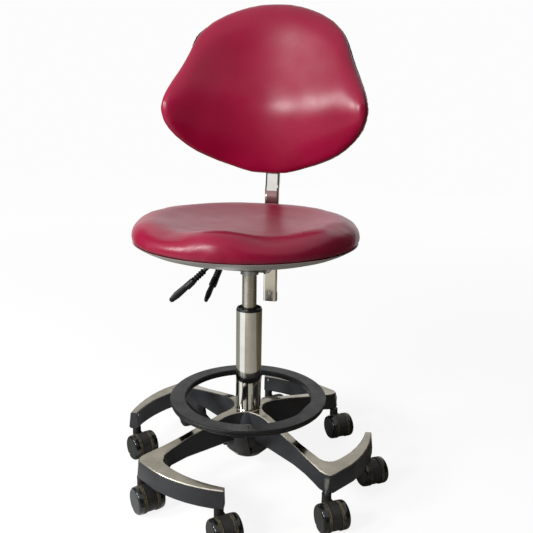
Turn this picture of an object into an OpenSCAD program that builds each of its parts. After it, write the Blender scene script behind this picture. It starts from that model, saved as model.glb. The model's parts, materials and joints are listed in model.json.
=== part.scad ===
// Clinic stool: contoured round seat, tilting backrest, gas lift with a foot release ring,
// and a cast base whose four hooked arms stand on eight twin-wheel casters.
// The floor is z = 0, the lift column stands on the origin, and the sitter faces -Y.

/* [Base casting] */
// Height of the hub's top face
hub_top = 129; // [120:1:140]
// Height of the hub's lower face
hub_bottom = 60; // [56:1:64]
// Radius of the hub at its top
hub_top_r = 28.5; // [27.5:0.5:38]
// Radius of the hub at its foot
hub_foot_r = 45; // [42:1:50]
// Width of an arm's polished top face
arm_w = 16; // [13:1:20]
// Height of the arms' top face over the casters
arm_end_top = 91; // [86:1:98]
// Height of the caster seats under the arms
caster_seat_z = 56; // [54:0.5:60]
// Height of the arms' lower face between hub and corner
arm_arch_z = 70; // [64:1:76]
// Radius of the hooks' outer side
hook_r = 246; // [236:1:262]
// Width of the hook just past its corner
hook_w = 29; // [24:1:34]
// Width of the hook at its tip
hook_tip_w = 12; // [10:1:15]
// How far each side wall leans out from top to bottom
arm_draft = 3.5; // [2:0.5:5]
// Direction of the first arm, counted anticlockwise from +X
arm_turn = 51.4; // [0:0.1:89]

/* [Lift column] */
// Outside diameter of the chromed column tube
column_d = 50; // [48:1:52]
// Wall of the column tube
column_wall = 2; // [1.5:0.1:2.5]
// Height of the column tube's top edge
column_top = 330; // [310:1:345]
// Diameter of the gas cylinder
cylinder_d = 28; // [26:0.5:30]
// Height of the gas cylinder's lower end
cylinder_bottom = 150; // [140:1:158]
// Diameter of the piston rod
rod_d = 10; // [9:0.5:12]

/* [Foot release] */
// Outside diameter of the foot ring
ring_d = 309; // [290:1:320]
// Width of the foot ring's tread
ring_w = 29.5; // [24:0.5:34]
// Height of the foot ring's top face
ring_top = 152.7; // [148:0.1:158]
// Thickness of the foot ring
ring_h = 12; // [10:0.5:14]
// Width of the four spokes
spoke_w = 25; // [20:1:28]
// Thickness of the spokes and of the rocker disc
spoke_t = 5; // [4:0.5:6]

/* [Casters] */
// Wheel diameter
wheel_d = 51; // [48:1:54]
// Width over both wheels
caster_w = 51; // [44:0.5:54]
// Width of the hood between the wheels
hood_w = 18; // [13:0.5:20]
// How far the axle trails behind the stem
caster_trail = 25.3; // [23:0.1:28]
// Diameter of the hood's neck
neck_d = 17; // [16:0.5:18]
// Diameter of the steel stem
stem_d = 11; // [10:0.5:12]

/* [Seat] */
// Seat diameter at its widest
seat_d = 412; // [390:1:430]
// How far the seat's centre lies in front of the column
seat_forward = 32; // [20:0.5:40]
// Height of the seam between pad and pan
seam_z = 475; // [468:0.5:480]
// Height of the rim above the seam
rim_h = 43; // [36:0.5:48]
// Height of the seat's hollow above the seam
hollow_h = 25; // [20:0.5:32]
// Depth of the thigh recesses below the rim
recess_h = 9; // [6:0.5:16]
// Height of the pan's floor
pan_z = 452; // [450:0.5:456]
// Wall of the pan
pan_wall = 2.5; // [2:0.1:3.5]

/* [Mechanism] */
// Width of the mechanism's steel trough
trough_w = 84; // [78:1:92]
// Height of the trough's floor
trough_z = 410; // [408:0.5:412]
// Thickness of the pressed steel
steel_t = 3; // [2.5:0.1:4]
// Diameter of the two pivot pins
pivot_d = 10; // [8:0.5:12]
// Length of each lever's grip
grip_l = 89; // [80:1:96]
// Thickness of the grips' barrel
grip_d = 14.5; // [13:0.5:18]

/* [Backrest] */
// Width of the backrest pad seen from the front
back_w = 404; // [380:1:430]
// Height of the backrest pad
back_h = 335; // [310:1:360]
// Height of the backrest's lower edge above the floor
back_low_z = 575; // [560:1:590]
// Backward lean in degrees
back_lean = 7; // [3:0.5:12]
// Radius that the backrest wraps round the sitter
wrap_r = 272; // [240:1:340]
// Depth of the pad in front of its edge
pad_front = 24; // [16:1:30]
// Depth of the pad behind its edge
pad_rear = 14; // [10:1:18]
// Thickness of the moulded shell
shell_t = 4; // [3:0.5:5]
// Width of the chromed bar
bar_w = 30; // [26:1:34]
// Depth of the chromed bar
bar_t = 16; // [14:1:18]
// Distance of the bar's middle behind the seat's rear edge
bar_behind_seat = 22; // [16:0.5:28]
// Height of the bar's lower end
bar_low_z = 291; // [280:1:300]

/* [Hidden] */
CASTER_NAMES = [for (i = [1:8]) each [
    str("caster_", i, "_hood"), str("caster_", i, "_wheel_left"), str("caster_", i, "_wheel_right")]];

// Clearances: between running pieces, between pieces that are pressed or glued together, and round soft pieces
run_gap = 0.05;
seat_gap = 0.02;
soft_gap = 0.3;
// How far a cutter runs past the face that it cuts
over = 1;

bar_y = seat_d / 2 - seat_forward + bar_behind_seat;

$fn = 64;

// Shared helpers
function lerp(a, b, t) = a + (b - a) * t;
function polar(r, a) = [r * cos(a), r * sin(a)];
function ease(t) = (1 - cos(180 * t)) / 2;
// A table's value at x, eased between its rows
function eased(x, rows, i = 0) =
    i >= len(rows) - 2 || x <= rows[i + 1][0]
        ? lerp(rows[i][1], rows[i + 1][1],
            ease(max(0, min(1, (x - rows[i][0]) / (rows[i + 1][0] - rows[i][0])))))
        : eased(x, rows, i + 1);

// A solid through a list of rings, each with as many points, closed by flat or domed ends
module loft(rings, first_end = undef, last_end = undef) {
    n = len(rings[0]);
    m = len(rings);
    first_point = is_undef(first_end) ? mean_point(rings[0]) : first_end;
    last_point = is_undef(last_end) ? mean_point(rings[m - 1]) : last_end;
    points = concat([for (ring = rings) each ring], [first_point, last_point]);
    // each four-cornered facet is split along its shorter diagonal, so that skins laid together match
    sides = [for (i = [0:m - 2]) for (j = [0:n - 1])
        let (
            a = i * n + j,
            b = i * n + (j + 1) % n,
            rising = norm(points[a] - points[b + n]) < norm(points[b] - points[a + n]))
            each (rising ? [[a, a + n, b + n], [a, b + n, b]] : [[a, a + n, b], [b, a + n, b + n]])];
    first_cap = [for (j = [0:n - 1]) [m * n, j, (j + 1) % n]];
    last_cap = [for (j = [0:n - 1]) [m * n + 1, (m - 1) * n + (j + 1) % n, (m - 1) * n + j]];
    polyhedron(points, concat(sides, first_cap, last_cap), convexity = 10);
}
function mean_point(ring) = [for (k = [0:2]) sum_of([for (p = ring) p[k]]) / len(ring)];
function sum_of(list, i = 0) = i >= len(list) ? 0 : list[i] + sum_of(list, i + 1);

module tube(r_out, r_in, h) {
    difference() {
        cylinder(r = r_out, h = h);
        translate([0, 0, -over]) cylinder(r = r_in, h = h + 2 * over);
    }
}

module ring_of(count, r, first = 0) {
    for (i = [0:count - 1]) rotate(first + i * 360 / count) translate([r, 0, 0]) children();
}

// A shaft or hole along X, centred on the origin
module across(r, l) {
    rotate([0, 90, 0]) cylinder(r = r, h = l, center = true);
}

// Base casting
hub_socket_z = hub_bottom + 4;
rocker_z = 44;
column_r = column_d / 2;
arm_half = arm_w / 2;
edge_chamfer = 1.5;
foot_chamfer = 3;
arm_start = 20;
corner_start = 150;
stem_len = 56;
stem_sunk = 30;
stem_r = stem_d / 2;
stem_inset = 9;
corner_angle = -1.8;
tip_stem_angle = 40.7;
tip_angle = 43;
caster_r = hook_r - stem_inset;
// Half widths of an arm as shares of its plain half width, at shares of the way from hub to corner
arm_flare_shares = [[0, 2.25], [0.06, 1.75], [0.13, 1.3], [0.21, 1.06], [0.31, 1], [0.65, 1], [1, 1]];
// Arm height shares between hub top and arm end at each share of the hook's radius
arm_drop_shares = [[0, 0], [0.24, 0.05], [0.41, 0.27], [0.53, 0.45], [0.65, 0.61], [0.87, 0.91], [1, 1]];
// Lower face shares between arch and caster seat at each share of the hook's radius
arm_sink_shares = [[0, 0], [0.72, 0], [0.88, 0.86], [1, 1]];
// Places of the corner's outer edge, as shares of the hook's radius and of the hook's width
corner_edge_shares = [[0.76, -0.34], [0.84, -0.38], [0.905, -0.42], [0.955, -0.38], [0.985, -0.22], [0.997, 0.04]];
inner_corner = [hook_r - hook_w - 31, hook_w + 9];
inner_corner_r = 27;
inner_corner_angles = [-90, -70, -50, -32, -14, 4];
hook_steps = 7;
hook_first_angle = 12;

function arm_top_at(r) =
    lerp(hub_top, arm_end_top, lookup(r / hook_r, arm_drop_shares));
function arm_low_at(r) =
    lerp(arm_arch_z, caster_seat_z, lookup(r / hook_r, arm_sink_shares));
// Pairs of inner and outer top edge points along an arm, in the arm's own frame
arm_edges = concat(
    [for (s = arm_flare_shares) let (x = lerp(arm_start, corner_start, s[0]), half = arm_half * s[1])
        [[x, half], [x, -half]]],
    [for (i = [0:len(inner_corner_angles) - 1])
        [inner_corner + polar(inner_corner_r, inner_corner_angles[i]),
            [corner_edge_shares[i][0] * hook_r, corner_edge_shares[i][1] * hook_w]]],
    [for (i = [0:hook_steps - 1])
        let (t = i / (hook_steps - 1), a = lerp(hook_first_angle, tip_angle, t))
            [polar(hook_r - lerp(hook_w, hook_tip_w, t), a), polar(hook_r, a)]]);

function arm_section(inner, outer) =
    let (
        side = (outer - inner) / norm(outer - inner),
        r = norm((inner + outer) / 2),
        top = arm_top_at(r),
        low = arm_low_at(r),
        flat = arm_draft - foot_chamfer)
    [
        [each (inner + side * edge_chamfer), top],
        [each (outer - side * edge_chamfer), top],
        [each outer, top - edge_chamfer],
        [each (outer + side * arm_draft), low + foot_chamfer],
        [each (outer + side * flat), low],
        [each (inner - side * flat), low],
        [each (inner - side * arm_draft), low + foot_chamfer],
        [each inner, top - edge_chamfer]];

module base_arm() {
    loft([for (pair = arm_edges) arm_section(pair[0], pair[1])]);
}

module at_casters() {
    for (i = [0:3]) rotate(arm_turn + i * 90) {
        rotate(corner_angle) translate([caster_r, 0, 0]) children();
        rotate(tip_stem_angle) translate([caster_r, 0, 0]) children();
    }
}

module base_casting() {
    color("#9a9484") difference() {
        union() {
            for (i = [0:3]) rotate(arm_turn + i * 90) base_arm();
            translate([0, 0, hub_bottom])
                cylinder(r1 = hub_foot_r, r2 = hub_top_r, h = hub_top - hub_bottom - edge_chamfer);
            translate([0, 0, hub_top - edge_chamfer])
                cylinder(r1 = hub_top_r, r2 = hub_top_r - edge_chamfer, h = edge_chamfer);
        }
        translate([0, 0, hub_socket_z]) cylinder(r = column_r + seat_gap, h = hub_top);
        translate([0, 0, hub_bottom - over]) cylinder(r = hub_through_r, h = hub_top);
        at_casters() translate([0, 0, caster_seat_z - over])
            cylinder(r = stem_r + seat_gap, h = stem_len - caster_seat_z + stem_sunk + over);
        ring_of(4, housing_screw_r, arm_turn) translate([0, 0, hub_bottom - over])
            cylinder(r = housing_screw_d / 2 + seat_gap, h = housing_screw_l);
    }
}

module caster_stems() {
    color("#8c8f93") at_casters() translate([0, 0, stem_sunk])
        cylinder(r = stem_r, h = stem_len - seat_gap);
}

// Lift column
hub_through_r = 14;
end_plate_t = 4;
end_plate_hole_r = rod_d / 2 + 0.5;
column_in_r = column_r - column_wall;
dimple_r = 3;
dimple_depth = 0.5;
dimple_drop = 8;
dimple_turn = 224;

module column_tube() {
    color("#c9cccf") difference() {
        translate([0, 0, hub_socket_z]) cylinder(r = column_r, h = column_top - hub_socket_z);
        translate([0, 0, hub_socket_z + end_plate_t]) cylinder(r = column_in_r, h = column_top);
        translate([0, 0, hub_socket_z - over]) cylinder(r = end_plate_hole_r, h = column_top);
        rotate(dimple_turn) translate([column_r + dimple_r - dimple_depth, 0, column_top - dimple_drop])
            sphere(r = dimple_r);
    }
}

bushing_low_z = 215;
bushing_flange_h = 4;
bushing_flange_r = column_r + 0.3;
bushing_dish_r = 21;
bushing_dish_h = 2.5;
cylinder_r = cylinder_d / 2;
bushing_rib_w = 1.2;

module guide_bushing() {
    color("#1b1c1e") difference() {
        union() {
            translate([0, 0, bushing_low_z]) cylinder(r = column_in_r - seat_gap, h = column_top - bushing_low_z);
            translate([0, 0, column_top])
                cylinder(r1 = bushing_flange_r, r2 = bushing_flange_r - edge_chamfer, h = bushing_flange_h);
        }
        difference() {
            translate([0, 0, column_top + bushing_flange_h - bushing_dish_h])
                cylinder(r = bushing_dish_r, h = bushing_flange_h);
            tube(cylinder_r + bushing_rib_w, cylinder_r, column_top + bushing_flange_h - 1.5 * bushing_rib_w);
            ring_of(8, bushing_dish_r / 2)
                translate([-bushing_dish_r / 2, -bushing_rib_w / 2, 0])
                    cube([bushing_dish_r + bushing_rib_w, bushing_rib_w,
                        column_top + bushing_flange_h - bushing_rib_w]);
        }
        translate([0, 0, bushing_low_z - over]) cylinder(r = cylinder_r + run_gap, h = column_top);
    }
}

race_t = 2;
ball_d = 4;
ball_count = 10;
bearing_z = hub_socket_z + end_plate_t;
bearing_r = 11;
bearing_in_r = rod_d / 2 + 1;
bearing_out_r = 16;
cage_w = 5;
cage_t = 1.6;

module thrust_bearing() {
    color("#a9acb0") translate([0, 0, bearing_z]) {
        tube(bearing_out_r, bearing_in_r, race_t);
        ring_of(ball_count, bearing_r) translate([0, 0, race_t + ball_d / 2]) sphere(d = ball_d, $fn = 24);
        translate([0, 0, race_t + (ball_d - cage_t) / 2])
            tube(bearing_r + cage_w / 2, bearing_r - cage_w / 2, cage_t);
    }
}

rod_collar_z = bearing_z + race_t + ball_d + seat_gap;
rod_collar_h = 5;
rod_low_z = 56;
rod_top_z = 292;
rod_bore_r = 2.55;
rod_groove_depth = 0.8;
piston_h = 10;
chamber_r = cylinder_r - 3;
piston_groove = 1.5;
clip_t = 1.2;
clip_r = 8;
clip_z = hub_socket_z - clip_t - 0.3;
rod_r = rod_d / 2;

module piston_rod() {
    color("#b9bcc0") difference() {
        union() {
            translate([0, 0, rod_low_z]) cylinder(r = rod_r, h = rod_top_z - rod_low_z);
            translate([0, 0, rod_collar_z]) cylinder(r = bearing_out_r, h = rod_collar_h);
            translate([0, 0, rod_top_z - piston_h]) cylinder(r = chamber_r - run_gap, h = piston_h);
        }
        translate([0, 0, rod_low_z - over]) cylinder(r = rod_bore_r, h = rod_top_z - piston_h - rod_low_z);
        translate([0, 0, clip_z]) tube(rod_d, rod_r - rod_groove_depth, clip_t);
        translate([0, 0, rod_top_z - piston_h / 2])
            tube(cylinder_d, chamber_r - piston_groove, piston_groove);
    }
}

module rod_clip() {
    color("#77797c") translate([0, 0, clip_z + seat_gap]) difference() {
        cylinder(r = clip_r, h = clip_t - 2 * seat_gap);
        translate([0, 0, -over]) cylinder(r = rod_r - rod_groove_depth + seat_gap, h = clip_t + 2 * over);
        translate([0, -rod_r + rod_groove_depth, -over])
            cube([clip_r + over, rod_d - 2 * rod_groove_depth, clip_t + 2 * over]);
    }
}

pin_gap = 0.3;
pin_low_z = rocker_z + spoke_t + pin_gap;
pin_top_z = rod_top_z - piston_h - 6;

module release_pin() {
    color("#c4c6c8") translate([0, 0, pin_low_z])
        cylinder(r = rod_bore_r - run_gap, h = pin_top_z - pin_low_z);
}

// Gas cylinder and its taper in the seat mechanism
taper_low_z = trough_z - 9;
taper_top_z = trough_z + 30;
taper_slim = 0.8;
cylinder_wall = cylinder_r - chamber_r;
chamber_low_z = cylinder_bottom + 15;
chamber_top_z = taper_low_z - 18;
line_w = 1;
line_depth = 0.25;
line_z = [346, 385];
guide_h = chamber_low_z - cylinder_bottom;

module gas_cylinder() {
    color("#b4b0a6") difference() {
        union() {
            translate([0, 0, cylinder_bottom]) cylinder(r = cylinder_r, h = taper_low_z - cylinder_bottom);
            translate([0, 0, taper_low_z])
                cylinder(r1 = cylinder_r, r2 = cylinder_r - taper_slim, h = taper_top_z - taper_low_z);
        }
        translate([0, 0, cylinder_bottom - over])
            cylinder(r = chamber_r, h = chamber_top_z - cylinder_bottom + over);
        for (z = line_z) translate([0, 0, z]) tube(cylinder_d, cylinder_r - line_depth, line_w);
    }
}

module rod_guide() {
    color("#2a2b2d") translate([0, 0, cylinder_bottom]) tube(chamber_r - seat_gap, rod_r + run_gap, guide_h);
}

socket_wall = 3.5;
socket_r = cylinder_r + socket_wall;

module taper_socket() {
    color("#1d1e20") translate([0, 0, taper_low_z]) difference() {
        cylinder(r = socket_r, h = taper_top_z - taper_low_z);
        translate([0, 0, -over]) cylinder(
            r1 = cylinder_r + seat_gap + taper_slim * over / (taper_top_z - taper_low_z),
            r2 = cylinder_r - taper_slim + seat_gap,
            h = taper_top_z - taper_low_z + over);
        translate([0, 0, taper_top_z - taper_low_z - over / 2]) cylinder(r = cylinder_r, h = over);
    }
}

// Foot release: a disc rocks on the ledge of the housing and lifts the pin in the rod
housing_r = hub_foot_r - 1;
housing_wall = 3;
housing_low_z = 32;
housing_low_r = 30;
rocker_r = housing_r - housing_wall - 1;
ledge_w = 5;
housing_knee_z = rocker_z + 2;
housing_top = hub_bottom - seat_gap;
housing_screw_d = 4;
housing_screw_r = housing_r - 7;
housing_screw_l = 14;
housing_head_r = 4;
housing_head_h = 2.5;
housing_flange_t = 2.5;
spoke_gap = 1;
spoke_inset = 0.5;
spoke_rise_r = housing_r + 3;
spoke_end_r = ring_d / 2 - ring_w / 2;
spoke_end_w = 30;
ring_low = ring_top - ring_h;

module housing_outline(inset) {
    polygon([
        [0, housing_low_z + inset],
        [housing_low_r - inset / 2, housing_low_z + inset],
        [housing_r - inset, housing_knee_z],
        [housing_r - inset, housing_top + inset],
        [0, housing_top + inset]]);
}

module release_housing() {
    color("#141517") difference() {
        rotate_extrude() housing_outline(0);
        translate([0, 0, rocker_z]) cylinder(r = housing_r - housing_wall, h = housing_top);
        translate([0, 0, housing_low_z + housing_wall])
            cylinder(r1 = housing_low_r - housing_wall, r2 = rocker_r - ledge_w, h = rocker_z);
        for (i = [0:3]) rotate(arm_turn + 45 + i * 90)
            translate([rocker_r / 2, -spoke_w / 2 - spoke_gap, rocker_z - spoke_inset])
                cube([hub_foot_r, spoke_w + 2 * spoke_gap, housing_top]);
    }
    color("#141517") difference() {
        ring_of(4, housing_screw_r, arm_turn) housing_lug();
        ring_of(4, housing_screw_r, arm_turn) translate([0, 0, housing_top - housing_flange_t - over])
            cylinder(r = housing_screw_d / 2 + seat_gap, h = housing_flange_t + 2 * over);
    }
}

module housing_lug() {
    translate([-housing_head_r, -housing_head_r, housing_top - housing_flange_t])
        cube([housing_r - housing_screw_r - housing_wall / 2 + housing_head_r, 2 * housing_head_r,
            housing_flange_t]);
}

module housing_screws() {
    color("#9b9da0") ring_of(4, housing_screw_r, arm_turn) translate([0, 0, housing_top - housing_flange_t]) {
        cylinder(r = housing_screw_d / 2, h = housing_screw_l - over - seat_gap);
        translate([0, 0, -housing_head_h]) cylinder(r = housing_head_r - seat_gap, h = housing_head_h);
    }
}

// Side view of one spoke from the disc up to the underside of the ring
spoke_path = [
    [rocker_r / 2, rocker_z + spoke_inset], [spoke_rise_r, rocker_z + spoke_inset], [spoke_end_r - 12, ring_low - spoke_t - seat_gap],
    [spoke_end_r + 8, ring_low - spoke_t - seat_gap]];

module spoke() {
    rotate([90, 0, 0]) linear_extrude(height = spoke_w, center = true) polygon([
        spoke_path[0], spoke_path[1], spoke_path[2], spoke_path[3],
        spoke_path[3] + [0, spoke_t], spoke_path[2] + [-spoke_t / 3, spoke_t],
        spoke_path[1] + [-spoke_t / 2, spoke_t - 2 * spoke_inset],
        spoke_path[0] + [0, spoke_t - 2 * spoke_inset]]);
}

module ring_spider() {
    color("#1a1b1d") difference() {
        union() {
            translate([0, 0, rocker_z]) cylinder(r = rocker_r, h = spoke_t);
            for (i = [0:3]) rotate(arm_turn + 45 + i * 90) spoke();
        }
        at_ring_screws() translate([0, 0, ring_low - 2 * spoke_t])
            cylinder(r = ring_screw_d / 2 + seat_gap, h = 3 * spoke_t);
    }
}

ring_screw_d = 4;
ring_screw_l = 8;
ring_screw_apart = 14;
ring_lip = 2.5;
ring_step = 1.2;
ring_round = 2;

module at_ring_screws() {
    for (i = [0:3], side = [-1, 1]) rotate(arm_turn + 45 + i * 90)
        translate([spoke_end_r - 2, side * ring_screw_apart / 2, 0]) children();
}

module foot_ring() {
    r_out = ring_d / 2;
    r_in = r_out - ring_w;
    color("#25272a") difference() {
        rotate_extrude($fn = 128) polygon([
            [r_in, ring_low + ring_step], [r_in + ring_step, ring_low],
            [r_out - ring_lip - ring_step, ring_low], [r_out - ring_lip, ring_low + ring_step],
            [r_out - ring_lip, ring_low + ring_h / 3], [r_out - ring_lip / 2, ring_low + ring_h / 2],
            [r_out, ring_low + ring_h / 2 + ring_step], [r_out, ring_top - ring_round],
            [r_out - ring_round / 3, ring_top - ring_round / 3], [r_out - ring_round, ring_top],
            [r_in + ring_round, ring_top], [r_in, ring_top - ring_round]]);
        at_ring_screws() translate([0, 0, ring_low - over])
            cylinder(r = ring_screw_d / 2 + seat_gap, h = ring_screw_l);
    }
}

module ring_screws() {
    color("#8f9296") at_ring_screws() translate([0, 0, ring_low - spoke_t - seat_gap]) {
        cylinder(r = ring_screw_d / 2, h = ring_screw_l + spoke_t - over - seat_gap);
        translate([0, 0, -housing_head_h]) cylinder(r = housing_head_r, h = housing_head_h);
    }
}

// Casters: the stem is the local origin, the axle lies along X and trails along +Y
wheel_r = wheel_d / 2;
axle_z = wheel_r;
hood_r = wheel_r - 1.5;
wheel_gap = 0.5;
axle_r = 3;
axle_half = caster_w / 2 - 4;
rim_r = wheel_r - 0.8;
rim_groove = 1;
cap_r = wheel_r - 7;
cap_recess = 0.6;
tread_share = 0.58;
neck_top = caster_seat_z - 0.5;
neck_low = 27;
stem_bore_low = stem_sunk - 0.5;
// Resting direction of each caster's axle, the corner and the tip of each arm in turn
caster_turns = [-145.5, -138, -138, -131.2, -134.2, -140.5, -147.9, -146.8];
CORNER_TURNS = [for (i = [0:3]) each [arm_turn + i * 90 + corner_angle, arm_turn + i * 90 + tip_stem_angle]];

module at_caster(i) {
    translate([each polar(caster_r, CORNER_TURNS[i]), 0]) rotate(caster_turns[i]) children();
}

module caster_hood(i) {
    color("#202124") at_caster(i) {
        difference() {
            union() {
                translate([0, caster_trail, axle_z]) across(hood_r, hood_w);
                translate([0, 0, neck_low]) cylinder(r = neck_d / 2, h = neck_top - neck_low);
                translate([-hood_w / 2, 0, neck_low])
                    cube([hood_w, caster_trail, wheel_r - neck_d / 2]);
            }
            translate([0, 0, stem_bore_low]) cylinder(r = stem_r + run_gap, h = neck_top);
            translate([0, caster_trail, axle_z]) across(axle_r + seat_gap, caster_w);
            for (x = [hood_w / 2, -hood_w / 2 - neck_d])
                translate([x, -neck_d, neck_low - over]) cube([neck_d, 2 * neck_d, wheel_d - neck_low + 2 * over]);
        }
        translate([0, caster_trail, axle_z]) across(axle_r, 2 * axle_half);
    }
}

// One wheel, its inner face at x = 0 and its cap at the far end
module wheel_body() {
    w = (caster_w - hood_w) / 2 - wheel_gap;
    groove = w * tread_share;
    rotate([90, 0, 90]) rotate_extrude() polygon([
        [0, 0], [rim_r, 0], [wheel_r, rim_groove / 2], [wheel_r, groove - rim_groove / 2],
        [rim_r - rim_groove, groove - rim_groove / 2], [rim_r - rim_groove, groove + rim_groove / 2],
        [rim_r, groove + rim_groove / 2], [rim_r, w * 0.78], [rim_r - rim_groove, w * 0.9],
        [cap_r + 2 * rim_groove, w], [cap_r, w], [cap_r - rim_groove, w - cap_recess], [0, w - cap_recess]]);
}

module caster_wheel(i, side) {
    color("#191a1c") at_caster(i) translate([side * (hood_w / 2 + wheel_gap), caster_trail, axle_z])
        difference() {
            scale([side, 1, 1]) wheel_body();
            translate([side * (axle_half - hood_w / 2 - wheel_gap) / 2, 0, 0])
                across(axle_r + run_gap, axle_half - hood_w / 2 - wheel_gap + 2 * run_gap + over);
        }
}

// Seat mechanism
trough_front = -80;
trough_front_z = 429;
trough_floor_start = -22;
trough_floor_end = 54;
trough_rear = 84;
trough_rear_z = 409;
trough_front_top = 443;
trough_rear_top = 430;
seat_pivot = [0, -62, 432];
back_pivot = [0, 72, 419];
trough_half = trough_w / 2;
ear_t = 3;
ear_gap = 0.6;
ear_r = 13;
pin_head_r = pivot_d / 2 + 3;
pin_head_t = 2.5;
seat_ear_x = trough_half + ear_gap;
pin_half = seat_ear_x + ear_t + 1;
pivot_r = pivot_d / 2;

// Side view of the trough, or of its hollow where the steel's thickness is given
module trough_side(inset = 0) {
    polygon([
        [trough_front + inset, trough_front_z + inset], [trough_floor_start, trough_z + inset],
        [trough_floor_end, trough_z + inset], [trough_rear + inset, trough_rear_z + inset],
        [trough_rear + inset, trough_rear_top + inset * 2], [seat_pivot[1] + ear_r, trough_front_top + inset * 2],
        [trough_front + inset, trough_front_top + inset * 2]]);
}

module mechanism_trough() {
    color("#232427") difference() {
        rotate([90, 0, 90]) linear_extrude(height = trough_w, center = true) trough_side();
        rotate([90, 0, 90]) linear_extrude(height = trough_w - 2 * steel_t, center = true) trough_side(steel_t);
        translate([-trough_half + steel_t, trough_floor_end, trough_z - over])
            cube([trough_w - 2 * steel_t, trough_rear, trough_front_top]);
        translate([0, 0, trough_z - over]) cylinder(r = socket_r + seat_gap, h = trough_front_top);
        translate(seat_pivot) across(pivot_r + seat_gap, 2 * trough_w);
        translate(back_pivot) across(pivot_r + seat_gap, 2 * trough_w);
        translate([-trough_half, front_shaft[0], front_shaft[1]]) across(lever_r + run_gap, trough_half);
        translate([-trough_w, side_lever_y - slot_w / 2, slot_z[0]])
            cube([trough_w, slot_w, slot_z[1] - slot_z[0]]);
    }
    color("#232427") difference() {
        translate([-front_shaft_in - front_lug_w, front_shaft[0] - front_lug_w, trough_z + steel_t - seat_gap])
            cube([lug_t, 2 * front_lug_w, front_shaft[1] - trough_z + lug_t]);
        translate([-trough_half, each front_shaft]) across(lever_r + run_gap, trough_half);
    }
    color("#232427") for (side = [-1, 1]) difference() {
        translate([lug_x - lug_w / 2, side_lever_y + side * (lug_in + lug_t / 2) - lug_t / 2,
            trough_z + steel_t - seat_gap])
            cube([lug_w, lug_t, side_pivot_z - trough_z + lug_w / 4]);
        translate([lug_x, side_lever_y, side_pivot_z]) rotate([90, 0, 0])
            cylinder(r = lever_pin_r + seat_gap, h = trough_w, center = true);
    }
}

module pivot_pins() {
    color("#b3b6ba") {
        translate(seat_pivot) across(pivot_r, 2 * pin_half);
        translate(seat_pivot) for (side = [-1, 1])
            translate([side * (pin_half + pin_head_t / 2), 0, 0]) across(pin_head_r, pin_head_t);
        translate(back_pivot) across(pivot_r, 2 * (trough_half + 1));
        translate(back_pivot) for (side = [-1, 1])
            translate([side * (trough_half + 1 + pin_head_t / 2), 0, 0]) across(pin_head_r, pin_head_t);
        translate([lug_x, side_lever_y, side_pivot_z]) rotate([90, 0, 0])
            cylinder(r = lever_pin_r, h = 2 * (lug_in + lug_t), center = true);
    }
}

// Levers: both are bent from the same bar and carry the same moulded grip
lever_r = 4;
lug_x = -22;
lug_w = 12;
lug_t = 3;
lug_in = 5;
lever_pin_r = 3;
side_pivot_z = 423;
side_lever_y = -20;
slot_w = 10;
slot_z = [414, 434];
side_bend = [-63, -21, 426];
side_grip_root = [-82, -26, 407];
side_grip_tip = [-144.3, -42.6, 345.3];
front_shaft = [20, 428];
front_bend = [-54, each front_shaft];
front_grip_tip = [-59.8, -90, 365.7];
front_root_share = 0.29;
front_grip_root = lerp(front_bend, front_grip_tip, front_root_share);
front_shaft_in = 18;
front_lug_w = 7;

bend_r = 9;
bend_steps = 5;
bar_sides = 20;
function unit(v) = v / norm(v);

// A round bar from a to c that is bent at b
module bent_bar(a, b, c, r) {
    side = unit(cross(b - a, c - b));
    turn = acos(unit(b - a) * unit(c - b));
    from = b - unit(b - a) * bend_r * tan(turn / 2);
    to = b + unit(c - b) * bend_r * tan(turn / 2);
    path = concat([a], [for (i = [0:bend_steps]) let (t = i / bend_steps)
        lerp(lerp(from, b, t), lerp(b, to, t), t)], [c]);
    n = len(path);
    loft([for (i = [0:n - 1])
        let (
            along = unit(path[min(i + 1, n - 1)] - path[max(i - 1, 0)]),
            up = cross(along, side))
            [for (j = [0:bar_sides - 1])
                path[i] + r * (side * cos(j * 360 / bar_sides) + up * sin(j * 360 / bar_sides))]]);
}

module side_lever_rod() {
    color("#8d9094") {
        difference() {
            union() {
                translate([lug_x, side_lever_y, side_pivot_z]) rotate([90, 0, 0])
                    cylinder(r = lever_r + 3, h = 2 * (lug_in - ear_gap), center = true);
                bent_bar([lug_x, side_lever_y, side_pivot_z], side_bend,
                    lerp(side_grip_root, side_grip_tip, grip_hold_share), lever_r);
            }
            translate([lug_x, side_lever_y, side_pivot_z]) rotate([90, 0, 0])
                cylinder(r = lever_pin_r + run_gap, h = trough_w, center = true);
        }
    }
}

module front_lever_rod() {
    color("#8d9094") {
        translate([-front_shaft_in, each front_shaft]) rotate([0, -90, 0])
            cylinder(r = lever_r, h = trough_half - front_shaft_in);
        bent_bar([-trough_half + steel_t, each front_shaft], front_bend,
            lerp(front_grip_root, front_grip_tip, grip_hold_share), lever_r - seat_gap);
    }
}

grip_hold_share = 0.45;
grip_rib_count = 5;
grip_rib_share = 0.32;
grip_barrel_share = 0.51;
paddle_w_share = 0.94;
paddle_t_share = 0.66;
paddle_up_share = 0.1;
grip_barrel_r = grip_d / 2;
grip_core_r = grip_barrel_r * 0.68;

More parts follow.
